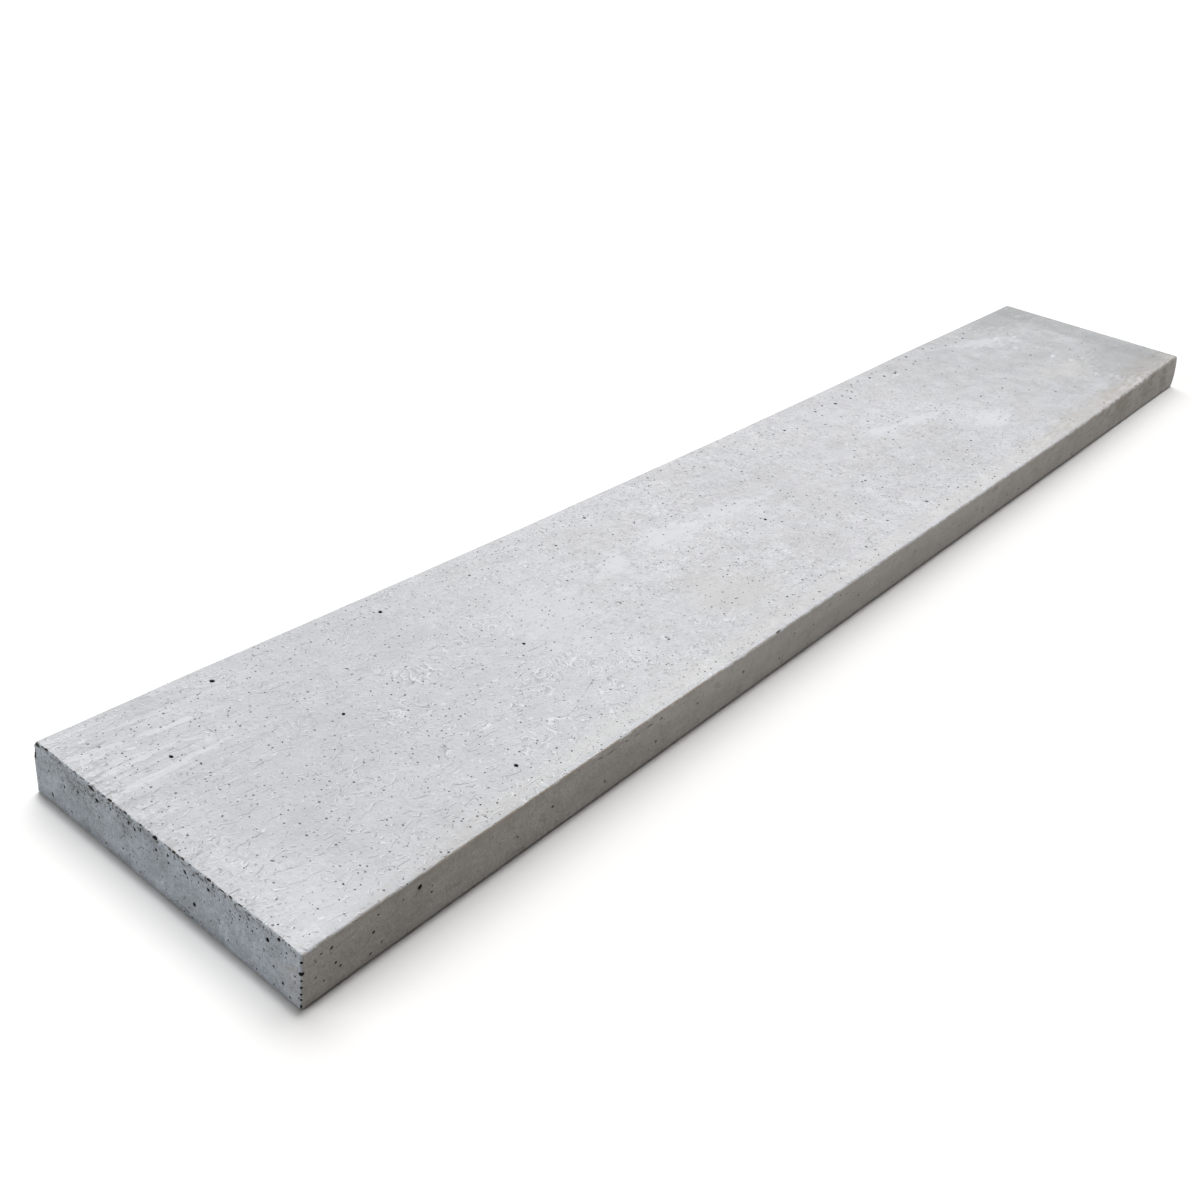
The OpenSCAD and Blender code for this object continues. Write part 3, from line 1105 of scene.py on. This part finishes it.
def shadeCastSkin():
    made, tree, shader, place = newMaterial("castSkin")

    def streaks(sizes, detail, rough, bend=0.0, angle=0.0):
        return noiseAt(tree, stretched(tree, place, sizes, angle), 1.0, detail, rough, bend)

    leanX, _, leanZ = axesOf(tree, addNode(tree, "NewGeometry").outputs["Normal"])
    top = rise(leanZ, 0.45, 0.95)
    ends = rise(abs(leanX), 0.35, 0.6)
    sides = (1.0 - top) * (1.0 - ends)
    x, y, z = axesOf(tree, place)

    # the near end of the top was worked least, and the far end is darker and mottled
    near = rise(x, -250.0, -750.0)
    middle = rise(x, -650.0, -150.0)
    far = rise(x, 150.0, 800.0)
    stir = swing(streaks((22.0, 7.0, 7.0), 3.0, 0.65), 2.0)
    cloud = streaks((90.0, 38.0, 50.0), 3.0, 0.6, 0.7, 18.0)
    mottle = streaks((70.0, 40.0, 50.0), 3.0, 0.6, 0.7, 20.0)
    topTone = mixColours(rise(cloud, 0.34, 0.66), concrete["top"], concrete["topPale"])
    topTone = over(topTone, near * 0.6, "topNear")
    band = rise(x + stir * 6.0, 830.0, 870.0)
    topTone = over(topTone, far * (0.2 + 0.4 * rise(mottle, 0.72, 0.28) + 1.0 * band), "topFar")
    colour = over(mixColours(top, concrete["sides"], topTone), ends, "ends")
    strip = top * rise(y + stir * 5.0, -120.0, -134.0) * rise(y, -146.0, -142.0)
    colour = over(colour, strip * (0.3 * rise(x, -820.0, -620.0) + 0.3 * far), "cream")

    # the arrises are worn pale and brown in turn; the pale is partly a painted highlight on the
    # rounded arris
    arris = rise(leanZ, 0.15, 0.45) * rise(leanZ, 0.985, 0.9) * (1.0 - ends)
    ragged = streaks((16.0, 3.0, 3.0), 2.0, 0.7)
    worn = rise(x, -850.0, -720.0) * rise(x, -380.0, -480.0)
    # pale wear, partly a painted highlight on the rounded arris
    paleWearAndHighlight = arris * rise(ragged, 0.46, 0.60) * (0.7 - 0.5 * worn)
    colour = over(colour, paleWearAndHighlight, "bloom")
    browned = 0.4 + 0.5 * worn + 0.5 * rise(x, 300.0, 650.0)
    browned = browned * rise(ragged, 0.54 + 0.12 * worn, 0.44 + 0.12 * worn) * rise(y, 200.0, 0.0)
    colour = over(colour, arris * browned, "stain")
    spots = streaks((15.0, 9.0, 9.0), 2.0, 0.7, 0.8)
    colour = over(colour, rise(spots, 0.60, 0.70) * sides * 0.4, "stain")

    patches = 0.11 + 0.06 * sides * near + 0.26 * ends + 0.04 * middle * top + 0.05 * far * top
    cement = useGroup(tree, cementTone, {
        "Place": place, "Clouds": 0.06 + 0.05 * (1.0 - top) + 0.05 * far * top,
        "Patches": patches,
        "Grain": 0.08 + 0.12 * ends + 0.06 * near * sides + 0.02 * middle * top,
        "Sand": 0.06 + 0.05 * near + 0.08 * (1.0 - top),
    })
    # painted light and shade of wrinkles, at two sizes
    fineShading = useGroup(tree, wrinkleShading, {"Place": place, "Size": 5.0})["Tone"]
    broadShading = useGroup(tree, wrinkleShading, {"Place": place, "Size": 17.0})["Tone"]

    # level lines of slurry, strokes of the float and flecks, all on the top, with the painted
    # shadows beside the lines and strokes
    calm = 1.0 - 0.7 * strip
    worked = 0.4 + 0.6 * rise(noiseAt(tree, place, 110.0, 1.0), 0.40, 0.55)
    worked = worked * (0.35 + 0.65 * rise(x, -780.0, -620.0)) * rise(x, 1000.0, 300.0)
    worked = worked * calm
    worm = useGroup(tree, curls, {
        "Place": place, "Size": 12.0, "Width": 0.022 + 0.035 * middle, "Levels": 4.0,
        "Cover": 0.60,
    })
    ripple = useGroup(tree, curls, {
        "Place": vectorMath(tree, "ADD", place, (90.0, 20.0, 0.0)), "Size": 34.0,
        "Width": 0.018, "Levels": 11.0, "Cover": 0.45, "Gate Size": 40.0,
    })
    short, wide, thin, fleck = layStrokes(tree, place).values()
    fleck = fleck["Light"]
    lines = (worm["Line"] * (0.20 - 0.06 * middle) - worm["Shade"] * 0.20) * worked
    ridged = rise(x, -740.0, -690.0) * rise(x, -480.0, -540.0) * rise(y, 60.0, 20.0)
    lines = lines + (ripple["Line"] * 0.11 - ripple["Shade"] * 0.10) * (0.5 + ridged) * calm
    lines = lines + (short["Light"] * 0.22 - short["Dark"] * 0.24) * (1.0 - 0.7 * middle)
    lines = lines + (wide["Light"] * 0.07 - wide["Dark"] * 0.15) * middle
    lines = lines + thin["Light"] * 0.14 - thin["Dark"] * 0.20 + fleck * (0.14 - 0.09 * middle)
    # painted light and shade of wrinkles on the top
    lines = lines + fineShading * (0.10 - 0.05 * far) + broadShading * (0.02 + 0.07 * middle - 0.02 * far)

    # long smears in the corner of the near end and the back side, and faint ones all over
    edge = rise(x, -840.0, -905.0)
    vigour = 1.0 + 0.5 * near + 0.4 * edge - 0.2 * rise(x, -150.0, 150.0)
    smear = streaks((95.0, 5.0, 10.0), 3.0, 0.65, 0.4, 4.0)
    smeared = 0.05 + 0.12 * edge + 0.22 * near * rise(x, -700.0, -860.0) * rise(y, 0.0, 60.0)
    tone = 1.0 + cement["Tone"] + top * (lines * vigour + swing(smear, smeared))
    level = 0.025 + 0.025 * rise(x, -720.0, -560.0) - 0.012 * rise(x, -200.0, 0.0)
    level = level - 0.035 * rise(x, 350.0, 600.0)
    tone = tone + top * (edge * 0.05 + level) + strip * (0.01 + 0.03 * near + 0.02 * edge)
    # painted light and shade of wrinkles on the sides and ends
    tone = tone + (1.0 - top) * fineShading * (0.10 + 0.22 * ends + 0.12 * near * sides)

    # the near part of the long side is darker than its far part
    grime = streaks((34.0, 34.0, 12.0), 3.0, 0.7, 0.8)
    lighter = 0.20 * rise(x, -900.0, -350.0) * (0.6 + 0.4 * rise(z, 16.0, 40.0)) - 0.12
    lighter = lighter + 0.13 * rise(z, 22.0, 6.0)
    endTone = 0.02 - 0.07 * rise(y, -80.0, 120.0) - 0.07 * rise(z, 12.0, 3.0)
    sideTone = sides * (lighter + swing(grime, 0.11 + 0.06 * near))
    tone = tone * (1.0 + sideTone + ends * (endTone + swing(grime, 0.27)))
    colour = vectorMath(tree, "SCALE", colour, scale=tone)

    crumbs = streaks((5.0, 4.0, 3.0), 3.0, 0.7)
    colour = layPatches(tree, place, stir, top, crumbs, colour)

    # dark crumbs along the top edge of the ends, and painted shade where they and the sides meet
    # the bed
    rim = ends * rise(z, 44.0, 47.0) * rise(crumbs, 0.54, 0.63)
    veins = useGroup(tree, curls, {
        "Place": place, "Size": 26.0, "Width": 0.012, "Levels": 3.0, "Cover": 0.45,
    })["Line"] * ends
    # painted contact shade: the lowest few millimetres of the sides and ends, where they meet the
    # floor
    footShade = (1.0 - top) * rise(z, 2.6, 0.4)
    dark = rim.join("MAXIMUM", footShade * 0.65).join("MAXIMUM", veins * 0.5)
    colour = over(colour, dark, "crumbs")

    chance = 0.14 + 0.19 * near * top + 0.06 * (1.0 - top) - 0.09 * rise(x, -150.0, 150.0) * top
    specks = useGroup(tree, airSpecks, {
        "Place": place, "Spacing": 4.2, "Width": 1.7, "Chance": chance,
    })
    # painted highlight: the lip on the lit side of each painted pit, in the pale colour of lime
    # bloom
    colour = over(colour, specks["Lit Lip"] * (0.7 - 0.5 * middle) * top, "bloom")
    # the smallest pits painted dark: partly dirt, partly painted shade inside the pit
    colour = over(colour, specks["Pit"] * 0.9, "speckShadeAndDirt")
    plug(tree, shader.inputs["Base Color"], colour)

    height = cement["Relief"] * 0.2 + smear * smeared * 2.0
    height = height + worm["Line"] * 0.10 * worked * top
    height = height + (short["Light"] - short["Dark"]) * top * 0.15
    height = height + (thin["Light"] - thin["Dark"]) * top * 0.12 + fleck * top * 0.25
    height = height - specks["Pit"] * 0.4 + specks["Lit Lip"] * 0.15 - veins * 0.15
    plug(tree, shader.inputs["Normal"], bumpFrom(tree, height))
    plug(tree, shader.inputs["Roughness"], 0.70 + 0.12 * smear)
    return made


def shadeHollowWall():
    made, tree, shader, place = newMaterial("hollowWall")
    depth = Signal(tree, addNode(tree, "Attribute", attribute_name="holeDepth").outputs["Fac"])
    tone = useGroup(tree, cementTone, {
        "Place": place, "Clouds": 0.0, "Patches": 0.1, "Grain": 0.25, "Grain Size": 1.2,
        "Sand": 0.25,
    })
    # the wall darkens with depth below the rim: painted shade of the hollow, with some dirt
    colour = mixColours(rise(depth, 0.15, 0.75), concrete["rimWallShadeAndDirt"], concrete["deepWallShadeAndDirt"])
    colour = vectorMath(tree, "SCALE", colour, scale=1.0 + tone["Tone"])
    plug(tree, shader.inputs["Base Color"], colour)
    plug(tree, shader.inputs["Roughness"], 0.85 + 0.1 * tone["Relief"])
    plug(tree, shader.inputs["Normal"], bumpFrom(tree, tone["Relief"] * 0.3))
    return made


castSkin = shadeCastSkin()
hollowWall = shadeHollowWall()
gravelBoard = makeBoard()
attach(gravelBoard, "root")
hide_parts("gravel_board")
print("board made and finished")

# floor, lamps and camera

studio = {
    "floorSize": 40.0,
    "floorShown": (1.182, 1.174, 1.163),  # what the lens sees of the floor, just past white
    "floorReflects": 0.6,  # what the board gets back from it
    "dome": 0.0,  # even light from all round
    "camera": (-1.29955, -0.59581, 0.66409),
    "azimuth": -54.393,
    "elevation": 29.823,
    "roll": 7.25,
    "lens": 38.843,
    "shift": (0.02167, -0.01108),
}

lamps = {
    # where the light comes from: azimuth and elevation in degrees, share of a plain level that
    # it gives to a level surface, and how wide the source is in degrees
    "overhead": (120, 83, 0.258, 8),
    "overheadSoft": (165, 76, 0.042, 12),
    "backKey": (130, 60, 0.245, 45),
    "backLow": (152, 40, 0.141, 45),
    "farKey": (92, 60, 0.134, 45),
    "nearFill": (-120, 14, 0.096, 50),
}


def awayFrom(azimuth, elevation):
    # the direction of a lamp or camera: azimuth 0 is in front of the board, 90 beyond its far end
    turn, height = math.radians(azimuth), math.radians(elevation)
    return Vector((
        math.sin(turn) * math.cos(height), -math.cos(turn) * math.cos(height), math.sin(height)
    ))


def makeFloor():
    # a plain pale floor: the lens and mirrors see it white with its shadow, and the board gets
    # back only part of the light that falls on it
    size = studio["floorSize"] * 500
    corners = [(-size, -size, 0), (size, -size, 0), (size, size, 0), (-size, size, 0)]
    floor = meshObject("floor", corners, [(0, 1, 2, 3)])
    paper = bpy.data.materials.new("floorPaper")
    paper.use_nodes = True
    tree = paper.node_tree
    tree.nodes.clear()
    reflects = (studio["floorReflects"],) * 3 + (1.0,)
    colour = mixColours(seenByLens(tree), reflects, (*studio["floorShown"], 1.0))
    surface = addNode(tree, "BsdfDiffuse", {"Color": colour}).outputs[0]
    addNode(tree, "OutputMaterial", {"Surface": surface})
    floor.data.materials.append(paper)


def seenByLens(tree):
    # 1 for what the lens, mirrors and glass see, 0 for light on its way to the board
    path = addNode(tree, "LightPath").outputs
    either = Signal(tree, path["Is Camera Ray"]).join("MAXIMUM", path["Is Glossy Ray"])
    return either.join("MAXIMUM", path["Is Transmission Ray"])


def makeWorld():
    world = bpy.data.worlds.new("studio")
    bpy.context.scene.world = world
    world.use_nodes = True
    tree = world.node_tree
    tree.nodes.clear()
    strength = studio["dome"] + seenByLens(tree) * (1.0 - studio["dome"])
    light = addNode(tree, "Background", {"Color": (1.0, 1.0, 1.0, 1.0), "Strength": strength})
    addNode(tree, "OutputWorld", {"Surface": light.outputs[0]})


def makeLamps():
    for name, (azimuth, elevation, share, width) in lamps.items():
        lamp = bpy.data.lights.new(name, "SUN")
        lamp.energy = share * math.pi / math.sin(math.radians(elevation))
        lamp.angle = math.radians(width)
        made = newObject(name, lamp)
        made.rotation_mode = "QUATERNION"
        made.rotation_quaternion = awayFrom(azimuth, elevation).to_track_quat("Z", "Y")
        made.location = awayFrom(azimuth, elevation) * 3


def makeCamera():
    lens = bpy.data.cameras.new("camera")
    lens.lens = studio["lens"]
    lens.sensor_width = 36.0
    lens.shift_x, lens.shift_y = studio["shift"]
    lens.clip_start, lens.clip_end = 0.05, 200.0
    made = newObject("camera", lens)
    made.rotation_mode = "QUATERNION"
    level = awayFrom(studio["azimuth"], studio["elevation"]).to_track_quat("Z", "Y")
    roll = Quaternion((0, 0, 1), math.radians(studio["roll"]))
    made.rotation_quaternion = level @ roll
    made.location = studio["camera"]
    bpy.context.scene.camera = made


makeFloor()
makeWorld()
makeLamps()
makeCamera()
bpy.context.scene.view_settings.view_transform = "Standard"
print("studio ready")
